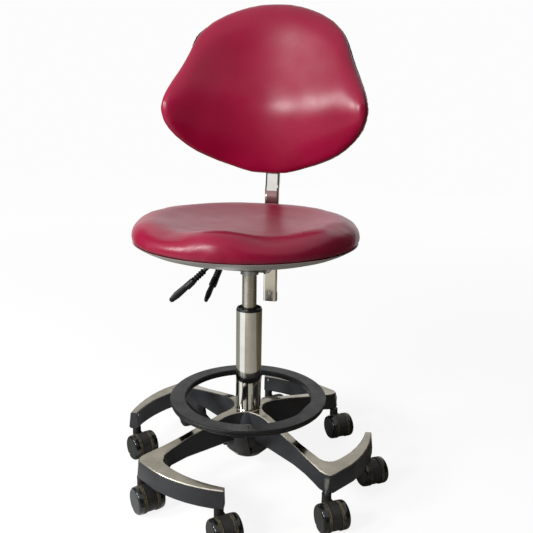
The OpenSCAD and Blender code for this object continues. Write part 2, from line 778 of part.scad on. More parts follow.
// The grip lies along +Z from its root. Its paddle sits a little towards -X, which is the lever's upper side
module grip() {
    rib_l = grip_l * grip_rib_share;
    pitch = rib_l / grip_rib_count;
    barrel_end = grip_l * grip_barrel_share;
    paddle_w = grip_d * paddle_w_share;
    tip_r = paddle_w / 2.6;
    up = grip_d * paddle_up_share;
    difference() {
        union() {
            for (i = [0:grip_rib_count - 1]) translate([0, 0, i * pitch]) {
                cylinder(r = grip_core_r, h = pitch);
                cylinder(r1 = grip_core_r, r2 = grip_barrel_r * 0.92, h = pitch * 0.55);
                translate([0, 0, pitch * 0.55])
                    cylinder(r1 = grip_barrel_r * 0.92, r2 = grip_core_r, h = pitch * 0.3);
            }
            translate([0, 0, rib_l]) cylinder(r1 = grip_barrel_r * 0.94, r2 = grip_barrel_r,
                h = barrel_end - rib_l);
            hull() {
                translate([-up / 2, 0, barrel_end - pitch]) scale([1, paddle_t_share, 1])
                    cylinder(d = paddle_w * 0.9, h = pitch, $fn = 32);
                translate([-up, 0, lerp(barrel_end, grip_l, 0.55)]) scale([1, paddle_t_share, 1])
                    cylinder(d = paddle_w * 1.05, h = line_w, $fn = 32);
                translate([-up, 0, grip_l - tip_r]) scale([1, paddle_t_share, 1]) sphere(r = tip_r, $fn = 32);
            }
        }
        translate([0, 0, -over]) cylinder(r = lever_r + seat_gap, h = grip_l * grip_hold_share + over + lever_r);
    }
}

module grip_between(root, tip, roll) {
    d = tip - root;
    translate(root) rotate([0, acos(d[2] / norm(d)), atan2(d[1], d[0])]) rotate(roll) grip();
}

module side_lever_grip() {
    color("#17181a") grip_between(side_grip_root, side_grip_tip, 0);
}

module front_lever_grip() {
    color("#17181a") grip_between(front_grip_root, front_grip_tip, 0);
}

// Seat
plate_t = 3.2;
plate_gap = 0.3;
plate_low = pan_z - plate_gap - plate_t;
seat_r = seat_d / 2;
// Places of the bolts across and along as shares of the seat's radius, and the plate's rim round them
bolt_across_share = 0.36;
bolt_along_shares = [-0.35, 0.32];
bolt_rim = [16, 20];
bolt_x = seat_r * bolt_across_share;
bolt_y = seat_r * bolt_along_shares;
plate_w = 2 * (bolt_x + bolt_rim[0]);
plate_front = bolt_y[0] - bolt_rim[1];
plate_rear = bolt_y[1] + bolt_rim[1];
bolt_r = 4;
bolt_head_r = 7;
bolt_head_h = 5;
board_t = 12;
pan_floor_top = pan_z + pan_wall;
board_low = pan_floor_top + plate_gap;
pan_r = seat_r - 2;
pan_floor_share = 0.592;
pan_floor_r = seat_r * pan_floor_share;
board_r = pan_floor_r + 10;
pan_rise = seam_z - soft_gap - pan_z;
// The pan's side as shares of its width outside the floor and of its rise
pan_side_shares = [[0.3, 0.053], [0.5, 0.184], [0.7, 0.419], [0.85, 0.673], [0.95, 0.882], [1, 1]];
plate_round = 18;
plate_slot = [26, 60];

module at_seat() {
    translate([0, -seat_forward, 0]) children();
}

module at_bolts() {
    for (x = [-bolt_x, bolt_x], y = bolt_y) translate([x, y, 0]) children();
}

module seat_plate() {
    color("#26272a") difference() {
        union() {
            translate([-plate_w / 2, plate_front, plate_low])
                cube([plate_w, plate_rear - plate_front, plate_t]);
            for (side = [-1, 1]) translate([side * (seat_ear_x + ear_t / 2), seat_pivot[1], seat_pivot[2]]) {
                across(ear_r, ear_t);
                translate([-ear_t / 2, -ear_r, 0]) cube([ear_t, 2 * ear_r, plate_low + plate_t - seat_pivot[2]]);
            }
        }
        translate(seat_pivot) across(pivot_r + run_gap, plate_w);
        at_bolts() translate([0, 0, plate_low - over]) cylinder(r = bolt_r + seat_gap, h = plate_t + 2 * over);
        for (side = [-1, 1]) translate([side * plate_w / 2, (plate_rear + plate_front) / 2, plate_low - over])
            scale([plate_slot[0] / plate_slot[1], 1, 1]) cylinder(r = plate_slot[1], h = plate_t + 2 * over);
    }
}

module seat_bolts() {
    color("#a4a7ab") at_bolts() {
        translate([0, 0, plate_low]) cylinder(r = bolt_r, h = board_low + board_t - plate_low - plate_t);
        translate([0, 0, plate_low - bolt_head_h]) cylinder(r = bolt_head_r, h = bolt_head_h, $fn = 6);
    }
}

function pan_side(inset) = [for (s = pan_side_shares)
    [lerp(pan_floor_r, pan_r, s[0]) - inset, pan_z + pan_rise * s[1] + inset * (1 - s[1])]];

module seat_pan() {
    color("#e8e6df") difference() {
        at_seat() rotate_extrude($fn = 128) polygon(concat(
            [[0, pan_z], [pan_floor_r, pan_z]],
            pan_side(0),
            [for (i = [len(pan_side_shares) - 1:-1:0]) pan_side(pan_wall)[i]],
            [[board_r + pan_wall, pan_floor_top], [0, pan_floor_top]]));
        at_bolts() translate([0, 0, pan_z - over]) cylinder(r = bolt_r + seat_gap, h = pan_rise);
        translate([0, 0, pan_z - over]) cylinder(r = socket_r, h = pan_wall + 2 * over);
    }
}

module seat_board() {
    color("#c9a36b") difference() {
        at_seat() translate([0, 0, board_low]) cylinder(r = board_r, h = board_t);
        at_bolts() translate([0, 0, board_low - over]) cylinder(r = bolt_r + seat_gap, h = board_t + 2 * over);
    }
}

pad_low = board_low + board_t + soft_gap;
seam_r = seat_r - 2;
belly_h = 5;
belly_z = seam_z + belly_h;
rim_z = seam_z + rim_h;
hollow_z = seam_z + hollow_h;
crest_share = 0.76;
// Share of the recess by which the rim dips at each angle from the front
rim_dip_shares = [[0, -0.3], [30, 1], [62, 0.3], [92, 0], [140, 0.12], [180, 0.2]];
// The pad's under side and lower side as shares of the seat's radius and of the height up to the belly
pad_side_shares = [[0.86, -0.45], [0.955, -0.02], [0.988, 0], [0.997, 0.4]];
pad_shoulder_angles = [0, 12, 28, 44, 60, 75, 90];
pad_top_shares = [0.9, 0.78, 0.62, 0.44, 0.24];
pad_around = 48;

function rim_at(a) = rim_z - recess_h * eased(abs(((a + 270) % 360) - 180), rim_dip_shares);
function pad_top_at(share, a) = lerp(hollow_z, rim_at(a), pow(share, 2.6));
function pad_ring(r, z_of) = [for (j = [0:pad_around - 1])
    let (a = j * 360 / pad_around) [each (polar(r, a) + [0, -seat_forward]), z_of(a)]];

module seat_cushion() {
    crest_r = seat_r * crest_share;
    under = [for (s = pad_side_shares)
        let (z = s[1] < -0.1 ? pad_low : seam_z + max(0, s[1]) * (belly_z - seam_z))
            pad_ring(seat_r * s[0], function (a) z)];
    shoulder = [for (t = pad_shoulder_angles) pad_ring(
        lerp(crest_r, seat_r, pow(max(0, cos(t)), 0.55)),
        function (a) lerp(belly_z, rim_at(a), pow(sin(t), 0.85)))];
    top = [for (s = pad_top_shares) pad_ring(crest_r * s, function (a) pad_top_at(s, a))];
    color("#8f1f3a") loft(
        concat(under, shoulder, top),
        [0, -seat_forward, pad_low],
        [0, -seat_forward, hollow_z]);
}

// Back bracket: two steel cheeks on the rear pivot, a web below them and the clamp round the bar
liner_t = 1.5;
clamp_wall = 5;
clamp_low = 393;
clamp_top = 436;
cheek_t = 4.5;
cheek_x = trough_half - steel_t - ear_gap - cheek_t;
cheek_r = 12;
web_t = 4;
liner_w = bar_w + 2 * run_gap + 2 * liner_t;
liner_d = bar_t + 2 * run_gap + 2 * liner_t;
clamp_w = liner_w + 2 * clamp_wall;
clamp_d = liner_d + 2 * clamp_wall;
clamp_front = bar_y - clamp_d / 2;
web_start = 92;
web_low = 402;
cheek_rear_top = 425;
knob_z = (clamp_low + clamp_top) / 2;
stud_r = 4;

module cheek_side() {
    hull() {
        translate([back_pivot[1], back_pivot[2]]) circle(r = cheek_r);
        translate([web_start, web_low]) square([clamp_front - web_start, cheek_rear_top - web_low]);
    }
}

module back_bracket() {
    color("#2a2b2e") difference() {
        union() {
            for (side = [-1, 1]) translate([side * (cheek_x + cheek_t / 2), 0, 0])
                rotate([90, 0, 90]) linear_extrude(height = cheek_t, center = true) cheek_side();
            translate([-cheek_x - cheek_t / 2, web_start, web_low])
                cube([2 * cheek_x + cheek_t, clamp_front - web_start + over, web_t]);
            translate([-cheek_x - cheek_t, clamp_front, clamp_low])
                cube([2 * (cheek_x + cheek_t), clamp_wall, clamp_top - clamp_low]);
            translate([-clamp_w / 2, clamp_front, clamp_low]) cube([clamp_w, clamp_d, clamp_top - clamp_low]);
        }
        translate([-liner_w / 2 - seat_gap, bar_y - liner_d / 2 - seat_gap, clamp_low - over])
            cube([liner_w + 2 * seat_gap, liner_d + 2 * seat_gap, clamp_top - clamp_low + 2 * over]);
        translate(back_pivot) across(pivot_r + run_gap, 2 * trough_w);
        translate([0, bar_y, knob_z]) rotate([-90, 0, 0]) cylinder(r = stud_r + run_gap, h = clamp_d);
    }
}

module clamp_liner() {
    color("#3a3b3e") difference() {
        translate([-liner_w / 2, bar_y - liner_d / 2, clamp_low]) cube([liner_w, liner_d, clamp_top - clamp_low]);
        translate([-bar_w / 2 - run_gap, bar_y - bar_t / 2 - run_gap, clamp_low - over])
            cube([bar_w + 2 * run_gap, bar_t + 2 * run_gap, clamp_top - clamp_low + 2 * over]);
    }
}

knob_r = 17;
knob_h = 18;
knob_lobes = 6;
knob_lobe_r = 6;
knob_gap = 2;
knob_boss_r = 9;

module clamp_knob() {
    color("#17181a") translate([0, bar_y + clamp_d / 2 + knob_gap, knob_z]) rotate([-90, 0, 0]) {
        cylinder(r = knob_boss_r, h = knob_gap);
        translate([0, 0, knob_gap]) {
            cylinder(r = knob_r - knob_lobe_r / 2, h = knob_h - 2 * knob_gap);
            ring_of(knob_lobes, knob_r - knob_lobe_r) cylinder(r = knob_lobe_r, h = knob_h - knob_gap, $fn = 32);
        }
        translate([0, 0, -knob_gap - clamp_wall + soft_gap])
            cylinder(r = stud_r, h = knob_gap + clamp_wall - soft_gap);
    }
}

// Backrest. Its own frame stands at mid thickness of the pad's edge, with Z along the lean
back_foot_share = 0.38;
bar_before_pad = 22.2;
back_ref_z = back_low_z + back_foot_share * back_h;
back_ref_y = bar_y - bar_before_pad;
bar_upright_top = 536;
bar_back_step = 5;
bar_step_h = 18;
bar_wall = 1.6;
bar_corner_r = 4;
bar_corner_steps = 3;
bar_top_z = 692;
bar_lean_y = bar_y + bar_back_step;
bar_lean_z = bar_upright_top + bar_step_h;
// Distance of the leaning bar's axis behind the pad's edge, square to the lean
bar_set = (bar_lean_y - back_ref_y) * cos(back_lean) + (back_ref_z - bar_lean_z) * sin(back_lean);
back_plate_t = 4;
back_plate_w = 110;
back_plate_h = 92;
back_plate_z = -52;
back_screw_x = 40;
back_screw_z = 32;
back_screw_r = 3;
back_screw_head_r = 6;
back_screw_head_h = 3.5;
back_screw_l = 18;
boss_round = 10;

module at_back() {
    translate([0, back_ref_y, back_ref_z]) rotate([-back_lean, 0, 0]) children();
}

// Bar path in the middle plane: upright, a short step back, then along the lean
bar_steps = 6;
bar_path = concat(
    [[bar_y, bar_low_z], [bar_y, bar_upright_top]],
    [for (i = [1:bar_steps - 1])
        let (t = i / bar_steps) [bar_y + bar_back_step * ease(t), bar_upright_top + bar_step_h * t]],
    [[bar_lean_y, bar_lean_z],
        [bar_lean_y + (bar_top_z - bar_lean_z) * tan(back_lean), bar_top_z]]);

function bar_section(w, t, r) = [for (q = [0:3]) for (k = [0:bar_corner_steps])
    let (c = [[1, 1], [-1, 1], [-1, -1], [1, -1]][q], a = q * 90 + k * 90 / bar_corner_steps)
        [c[0] * (w / 2 - r) + r * cos(a), c[1] * (t / 2 - r) + r * sin(a)]];

module bar_loft(w, t, r) {
    section = bar_section(w, t, r);
    loft([for (p = bar_path) [for (q = section) [q[0], p[0] + q[1], p[1]]]]);
}

module back_bar() {
    color("#c5c8cb") difference() {
        bar_loft(bar_w, bar_t, bar_corner_r);
        translate([0, 0, bar_low_z - over]) linear_extrude(height = bar_upright_top - bar_low_z)
            translate([0, bar_y]) polygon(bar_section(
                bar_w - 2 * bar_wall, bar_t - 2 * bar_wall, bar_corner_r - bar_wall));
        translate([0, bar_y - bar_t, bar_low_z + stop_up]) rotate([-90, 0, 0])
            cylinder(r = stop_r + seat_gap, h = bar_t);
    }
}

stop_up = 18;
stop_r = 2.5;
stop_head_r = 4.5;
stop_head_h = 2;

module bar_stop_screw() {
    color("#5d6064") translate([0, bar_y - bar_t / 2, bar_low_z + stop_up]) rotate([90, 0, 0]) {
        translate([0, 0, -bar_t / 2]) cylinder(r = stop_r, h = bar_t / 2);
        cylinder(r1 = stop_head_r, r2 = stop_head_r - edge_chamfer, h = stop_head_h);
    }
}

module at_back_screws() {
    for (x = [-back_screw_x, back_screw_x], z = [-back_screw_z, back_screw_z])
        translate([x, 0, back_plate_z + z]) children();
}

plate_set = bar_set - bar_t / 2 - back_plate_t - seat_gap;

module back_plate() {
    color("#b8bbbe") at_back() difference() {
        translate([-back_plate_w / 2, plate_set, back_plate_z - back_plate_h / 2])
            cube([back_plate_w, back_plate_t, back_plate_h]);
        at_back_screws() translate([0, plate_set - over, 0]) rotate([-90, 0, 0])
            cylinder(r = back_screw_r + seat_gap, h = back_plate_t + 2 * over);
    }
}

module back_screws() {
    color("#9b9ea2") at_back() at_back_screws() translate([0, plate_set + back_plate_t, 0]) rotate([-90, 0, 0]) {
        cylinder(r1 = back_screw_head_r, r2 = back_screw_head_r - edge_chamfer, h = back_screw_head_h);
        translate([0, 0, -back_screw_l]) cylinder(r = back_screw_r, h = back_screw_l);
    }
}

// Right half of the pad's outline as shares of its half width and height, from the foot to the top
back_outline_shares = [
    [0, 0], [0.2, 0.008], [0.39, 0.042], [0.574, 0.083], [0.73, 0.133], [0.866, 0.205], [0.965, 0.287],
    [1, 0.375], [0.985, 0.45], [0.935, 0.53], [0.874, 0.61], [0.815, 0.69], [0.76, 0.774], [0.7, 0.835],
    [0.593, 0.896], [0.45, 0.943], [0.3, 0.976], [0.15, 0.994], [0, 1]];
outline_count = len(back_outline_shares);
back_loop_shares = concat(
    back_outline_shares,
    [for (i = [outline_count - 2:-1:1]) [-back_outline_shares[i][0], back_outline_shares[i][1]]]);
// A smooth curve through the outline's points, two points for each
function loop_point(loop, i) = loop[(i + 2 * len(loop)) % len(loop)];
back_loop = [for (i = [0:len(back_loop_shares) - 1]) each [
    loop_point(back_loop_shares, i),
    (9 * (loop_point(back_loop_shares, i) + loop_point(back_loop_shares, i + 1))
        - loop_point(back_loop_shares, i - 1) - loop_point(back_loop_shares, i + 2)) / 16]];

// Forward wrap of the backrest at a distance x from its middle. The rings drop with it, so that the
// outline keeps its shape as seen level from the front
function wrap_at(x) = wrap_r - sqrt(wrap_r * wrap_r - x * x);
function loop_place(i) = let (p = loop_point(back_loop, i))
    [p[0] * back_w / 2, (p[1] - back_foot_share) * back_h];
// One ring of a pad or shell: the outline shrunk to a share of its size, set back by depth and grown outward
function back_ring(share, depth, grow = 0) = [for (i = [0:len(back_loop) - 1])
    let (
        along = loop_place(i + 1) - loop_place(i - 1),
        p = loop_place(i) * share + grow * shell_reach(i) * [along[1], -along[0]] / norm(along))
        [p[0], depth - wrap_at(p[0]), p[1] - wrap_at(p[0]) * sin(back_lean)]];
// How far the shell reaches past the pad, as shares of its growth at shares of the height: it shows at
// one shoulder more than at the other
shell_right_shares = [[0, 0.16], [0.2, 0.22], [0.375, 0.3], [0.6, 0.33], [0.85, 0.35], [0.95, 0.22], [1, 0.16]];
shell_left_shares = [[0, 0.16], [0.2, 0.22], [0.375, 0.24], [0.62, 0.3], [0.715, 0.6], [0.81, 1], [0.89, 0.6],
    [0.95, 0.25], [1, 0.16]];
function shell_reach(i) = let (p = loop_point(back_loop, i))
    lookup(p[1], p[0] < 0 ? shell_left_shares : shell_right_shares);
// The pad's cross-section from its rear face round its edge to its front: size and depth shares
pad_rear_shares = [[0.5, 1], [0.85, 1], [0.955, 0.96], [0.985, 0.6]];
pad_front_shares = [[1, 0], [0.992, 0.3], [0.965, 0.58], [0.92, 0.78], [0.85, 0.92], [0.74, 1], [0.58, 0.97],
    [0.38, 0.9], [0.18, 0.86]];
pad_middle_share = 0.85;
// The foam is fullest at the small of the back and thins below it: depth shares at shares of the height
lumbar_shares = [[0, 0.4], [0.08, 0.5], [0.18, 0.95], [0.28, 1.5], [0.36, 1.75], [0.44, 1.7], [0.56, 1.35],
    [0.72, 1.02], [1, 0.85]];
function lumbar_at(z) = lookup(z / back_h + back_foot_share, lumbar_shares);
function pad_front_ring(share, depth) = [for (p = back_ring(share, 0)) [p[0], p[1] - depth * lumbar_at(p[2]), p[2]]];

module back_cushion() {
    rear = [for (s = pad_rear_shares) back_ring(s[0], pad_rear * s[1])];
    front = [for (s = pad_front_shares) pad_front_ring(s[0], pad_front * s[1])];
    color("#8f1f3a") at_back() loft(
        concat(rear, front), [0, pad_rear, 0], [0, -pad_front * pad_middle_share * lumbar_at(0), 0]);
}

shell_grow = 9;
// The shell's section from its rear face round the lip to its inner face: size, depth and growth shares.
// Depth share 1 is its rear face and 0 the pad's widest ring
shell_rear_shares = [[0.5, 1, 0], [0.85, 1, 0.3], [0.94, 0.95, 0.7], [0.975, 0.84, 0.95], [0.986, 0.69, 1]];
shell_front_shares = [[0.986, 0.57, 1], [0.982, 0.53, 0.9], [0.98, 0.57, 0.6], [0.96, 0.755, 0.3]];
shell_inner_shares = [0.85, 0.5];

module back_shell() {
    face = pad_rear + soft_gap;
    outer = [for (s = concat(shell_rear_shares, shell_front_shares))
        back_ring(s[0], (face + shell_t) * s[1], shell_grow * s[2])];
    inner = [for (s = shell_inner_shares) back_ring(s, face)];
    rings = concat(outer, inner);
    color("#161719") at_back() difference() {
        union() {
            loft(rings, [0, face + shell_t, 0], [0, face, 0]);
            translate([-back_plate_w / 2, face + shell_t / 2, back_plate_z - back_plate_h / 2])
                cube([back_plate_w, plate_set - face - shell_t / 2 - seat_gap, back_plate_h]);
        }
        at_back_screws() translate([0, plate_set - back_screw_l + back_plate_t - over, 0]) rotate([-90, 0, 0])
            cylinder(r = back_screw_r + seat_gap, h = back_screw_l + 2 * over);
    }
}

base_casting();
column_tube();
guide_bushing();
thrust_bearing();
caster_stems();
release_housing();
housing_screws();
foot_ring();
ring_spider();
ring_screws();
release_pin();
piston_rod();
rod_clip();
gas_cylinder();
rod_guide();
taper_socket();
mechanism_trough();
pivot_pins();
seat_plate();
seat_bolts();
seat_pan();
seat_board();
seat_cushion();
side_lever_rod();
side_lever_grip();
front_lever_rod();
front_lever_grip();
back_bracket();
clamp_liner();
clamp_knob();
back_bar();
bar_stop_screw();
back_plate();
back_screws();
back_shell();
back_cushion();
for (i = [0:7]) {
    caster_hood(i);
    caster_wheel(i, 1);
    caster_wheel(i, -1);
}
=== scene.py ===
import json
import math

import bpy
import numpy as np
from bpy.props import FloatProperty, FloatVectorProperty, IntProperty, PointerProperty
from bpy.types import Operator, Panel, PropertyGroup
from mathutils import Matrix, Vector


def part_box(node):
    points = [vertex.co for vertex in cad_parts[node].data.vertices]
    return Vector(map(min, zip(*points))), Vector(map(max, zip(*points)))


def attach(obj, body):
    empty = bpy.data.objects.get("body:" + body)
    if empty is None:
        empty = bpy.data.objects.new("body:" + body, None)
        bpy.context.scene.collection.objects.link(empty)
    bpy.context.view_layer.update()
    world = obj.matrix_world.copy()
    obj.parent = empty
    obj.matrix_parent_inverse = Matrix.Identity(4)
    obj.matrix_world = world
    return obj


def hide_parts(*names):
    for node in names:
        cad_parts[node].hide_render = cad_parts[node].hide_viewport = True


bl_info = {
    "name": "Clinic stool dressing",
    "version": (1, 0, 0),
    "blender": (4, 5, 0),
    "location": "View3D > Sidebar > Stool",
    "description": "Upholstery, casting, casters, finishes and studio for the packed clinic stool",
    "category": "Object",
}

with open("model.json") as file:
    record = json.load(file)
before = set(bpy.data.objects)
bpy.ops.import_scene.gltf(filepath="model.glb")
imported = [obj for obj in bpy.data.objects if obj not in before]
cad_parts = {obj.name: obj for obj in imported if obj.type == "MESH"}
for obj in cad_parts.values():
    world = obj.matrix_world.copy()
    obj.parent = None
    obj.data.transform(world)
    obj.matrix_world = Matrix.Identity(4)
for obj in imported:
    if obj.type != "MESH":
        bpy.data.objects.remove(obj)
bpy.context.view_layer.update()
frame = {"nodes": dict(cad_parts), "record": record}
NODES = frame["nodes"]
BODY_OF = {node: body for body, nodes in frame["record"]["behaviour"]["bodies"].items() for node in nodes}
JOINT_OF = {joint["child"]: joint for joint in frame["record"]["behaviour"]["joints"]}
MM = 0.001
# Points nearer than this are one point
SAME_PLACE = 0.005 * MM

# The photograph's view, found from the stool's own round and upright parts
VIEW_TURN = math.radians(12.2)
VIEW_PLACE = Vector((0.03181, -1.20834, 0.71503))
VIEW_PITCH = 0.243
VIEW_ROLL = 0.0174
VIEW_LENS = 44.33
SENSOR = 36.0


# Small tools

def linear(code):
    """Turns an sRGB hex code into the linear colour that the nodes take."""
    channels = [int(code[i:i + 2], 16) / 255 for i in (0, 2, 4)]
    return (*[c / 12.92 if c <= 0.04045 else ((c + 0.055) / 1.055) ** 2.4 for c in channels], 1.0)


def focus(piece):
    """Deselects everything and makes one object the selected and active one."""
    bpy.ops.object.select_all(action="DESELECT")
    piece.select_set(True)
    bpy.context.view_layer.objects.active = piece


def edit_all(piece):
    """Opens one object in edit mode with all of its mesh selected."""
    focus(piece)
    bpy.ops.object.mode_set(mode="EDIT")
    bpy.ops.mesh.select_all(action="SELECT")


def close_edit():
    """Goes back to object mode."""
    bpy.ops.object.mode_set(mode="OBJECT")


def apply_modifier(piece, kind, **settings):
    """Adds one modifier with its settings and applies it."""
    focus(piece)
    modifier = piece.modifiers.new(kind.title(), kind)
    for key, value in settings.items():
        setattr(modifier, key, value)
    bpy.ops.object.modifier_apply(modifier=modifier.name)


def smooth(piece, degrees=180):
    """Shades a piece smooth, with edges sharper than the angle kept crisp."""
    focus(piece)
    if degrees < 180:
        bpy.ops.object.shade_smooth_by_angle(angle=math.radians(degrees))
    else:
        bpy.ops.object.shade_smooth()


def copy_of(node, name):
    """Makes a new piece from a CAD node's mesh, with its loose triangles merged."""
    piece = bpy.data.objects.new(name, NODES[node].data.copy())
    bpy.context.scene.collection.objects.link(piece)
    piece.data.materials.clear()
    focus(piece)
    bpy.ops.mesh.customdata_custom_splitnormals_clear()
    edit_all(piece)
    bpy.ops.mesh.remove_doubles(threshold=SAME_PLACE)
    bpy.ops.mesh.normals_make_consistent(inside=False)
    close_edit()
    return piece


def settle(piece, node, slot, *finishes):
    """Gives a piece its finishes, lets it stand for a CAD node and ride on that node's body."""
    for finish in finishes:
        piece.data.materials.append(finish)
    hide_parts(node)
    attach(piece, BODY_OF[node])


def centre_of(node):
    """The middle of a CAD node's box."""
    low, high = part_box(node)
    return (low + high) / 2


def points_of(piece):
    """A mesh's points as an array."""
    points = np.zeros(len(piece.data.vertices) * 3)
    piece.data.vertices.foreach_get("co", points)
    return points.reshape(-1, 3)


def set_points(piece, points):
    """Writes an array back into a mesh."""
    piece.data.vertices.foreach_set("co", np.asarray(points, np.float32).ravel())
    piece.data.update()


# Finishes

def add_node(tree, kind, settings=None, links=None):
    """Adds one shader node, sets its values and inputs, and links its inputs from (node, output)."""
    node = tree.nodes.new(kind)
    for name, value in (settings or {}).items():
        if name in node.inputs:
            node.inputs[name].default_value = value
        else:
            setattr(node, name, value)
    for name, (source, output) in (links or {}).items():
        tree.links.new(source.outputs[output], node.inputs[name])
    return node


def new_finish(name, settings):
    """Starts a material whose shader has the given values and returns it, its tree and its shader."""
    finish = bpy.data.materials.new(name)
    finish.use_nodes = True
    shader = finish.node_tree.nodes["Principled BSDF"]
    for key, value in settings.items():
        shader.inputs[key].default_value = value
    return finish, finish.node_tree, shader


def stops(ramp, *pairs):
    """Sets a colour ramp's stops from (place, hex code) pairs."""
    elements = ramp.color_ramp.elements
    while len(elements) < len(pairs):
        elements.new(1.0)
    for element, (place, code) in zip(elements, pairs):
        element.position = place
        element.color = linear(code)


def mottled(name, settings, patch, colours, roughness, grain, depth, places=(0.35, 0.65)):
    """A finish whose colour and gloss drift over patches of one size and whose surface has a fine grain."""
    finish, tree, shader = new_finish(name, settings)
    coords = add_node(tree, "ShaderNodeTexCoord")
    drift = add_node(tree, "ShaderNodeTexNoise", {"Scale": 1 / patch, "Detail": 4.0, "Roughness": 0.6},
                     {"Vector": (coords, "Object")})
    tone = add_node(tree, "ShaderNodeValToRGB", {}, {"Fac": (drift, "Fac")})
    stops(tone, (places[0], colours[0]), (places[1], colours[1]))
    tree.links.new(tone.outputs["Color"], shader.inputs["Base Color"])
    gloss = add_node(tree, "ShaderNodeMapRange", {
        "From Min": places[0], "From Max": places[1], "To Min": roughness[0], "To Max": roughness[1]},
        {"Value": (drift, "Fac")})
    tree.links.new(gloss.outputs["Result"], shader.inputs["Roughness"])
    fine = add_node(tree, "ShaderNodeTexNoise", {"Scale": 1 / grain, "Detail": 3.0},
                    {"Vector": (coords, "Object")})
    bump = add_node(tree, "ShaderNodeBump", {"Strength": 1.0, "Distance": depth}, {"Height": (fine, "Fac")})
    tree.links.new(bump.outputs["Normal"], shader.inputs["Normal"])
    return finish, tree, shader


# Sizes of the leatherette's dyed patches, rubbed patches, embossed cells and wrinkles. The real grain is about
# 1 mm across, drawn at 2 mm so that it shows in the picture
DYE_PATCH = 85 * MM
RUB_PATCH = 30 * MM
GRAIN_CELL = 2 * MM
GRAIN_WRINKLE = 6 * MM
GRAIN_DEPTH = 0.08 * MM
# Share of that depth that cells and wrinkles each take
GRAIN_STRENGTH = 0.5


def leatherette(colours):
    """Calendered PVC leatherette: an embossed grain, a soft broad gloss and faint rubbed patches."""
    finish, tree, shader = new_finish("calendered_pvc_leatherette", {"IOR": 1.47})
    coords = add_node(tree, "ShaderNodeTexCoord")
    place = {"Vector": (coords, "Object")}
    drift = add_node(tree, "ShaderNodeTexNoise", {"Scale": 1 / DYE_PATCH, "Detail": 3.0}, place)
    tone = add_node(tree, "ShaderNodeValToRGB", {}, {"Fac": (drift, "Fac")})
    stops(tone, (0.3, colours[0]), (0.7, colours[1]))
    tree.links.new(tone.outputs["Color"], shader.inputs["Base Color"])
    rub = add_node(tree, "ShaderNodeTexNoise", {"Scale": 1 / RUB_PATCH, "Detail": 3.0}, place)
    gloss = add_node(tree, "ShaderNodeMapRange", {
        "From Min": 0.3, "From Max": 0.7, "To Min": 0.31, "To Max": 0.36}, {"Value": (rub, "Fac")})
    tree.links.new(gloss.outputs["Result"], shader.inputs["Roughness"])
    cells = add_node(tree, "ShaderNodeTexVoronoi", {"Scale": 1 / GRAIN_CELL, "feature": "SMOOTH_F1"}, place)
    wrinkle = add_node(tree, "ShaderNodeTexNoise", {"Scale": 1 / GRAIN_WRINKLE, "Detail": 4.0}, place)
    grain = {"Strength": GRAIN_STRENGTH, "Distance": GRAIN_DEPTH}
    low = add_node(tree, "ShaderNodeBump", grain, {"Height": (cells, "Distance")})
    high = add_node(tree, "ShaderNodeBump", grain, {"Height": (wrinkle, "Fac"), "Normal": (low, "Normal")})
    tree.links.new(high.outputs["Normal"], shader.inputs["Normal"])
    return finish


# Depth of the rings that turning or grinding leaves
RING_DEPTH = 0.01 * MM


def brushed(name, settings, pitch, colours, roughness):
    """A turned or ground metal: fine rings round the upright axis, with smudges that dull it in places."""
    finish, tree, shader = mottled(name, settings, 20 * MM, colours, roughness, 4 * MM, RING_DEPTH)
    coords = add_node(tree, "ShaderNodeTexCoord")
    rings = add_node(tree, "ShaderNodeTexWave", {
        "bands_direction": "Z", "Scale": 1 / pitch, "Distortion": 1.5, "Detail": 2.0},
        {"Vector": (coords, "Object")})
    bump = add_node(tree, "ShaderNodeBump", {"Strength": 1.0, "Distance": RING_DEPTH},
                    {"Height": (rings, "Fac")})
    tree.links.new(bump.outputs["Normal"], shader.inputs["Normal"])
    return finish


# Tones of the two cushions' leatherette
LEATHER = ("9C0436", "A8073E")

# Ringed metals: material's name, shader's values, distance of the rings, two tones, roughness range
RINGED = {
    # ground and hard-chromed cylinder: satin, with faint rings
    "satin": ("ground_satin_steel", {"Metallic": 1.0}, 1.6 * MM, ("AFABA0", "C2BEB3"), (0.2, 0.3)),
    # turned or rolled steel, zinc plated
    "steel": ("zinc_plated_steel", {"Metallic": 1.0}, 2 * MM, ("9EA0A2", "B9BBBD"), (0.28, 0.4)),
}

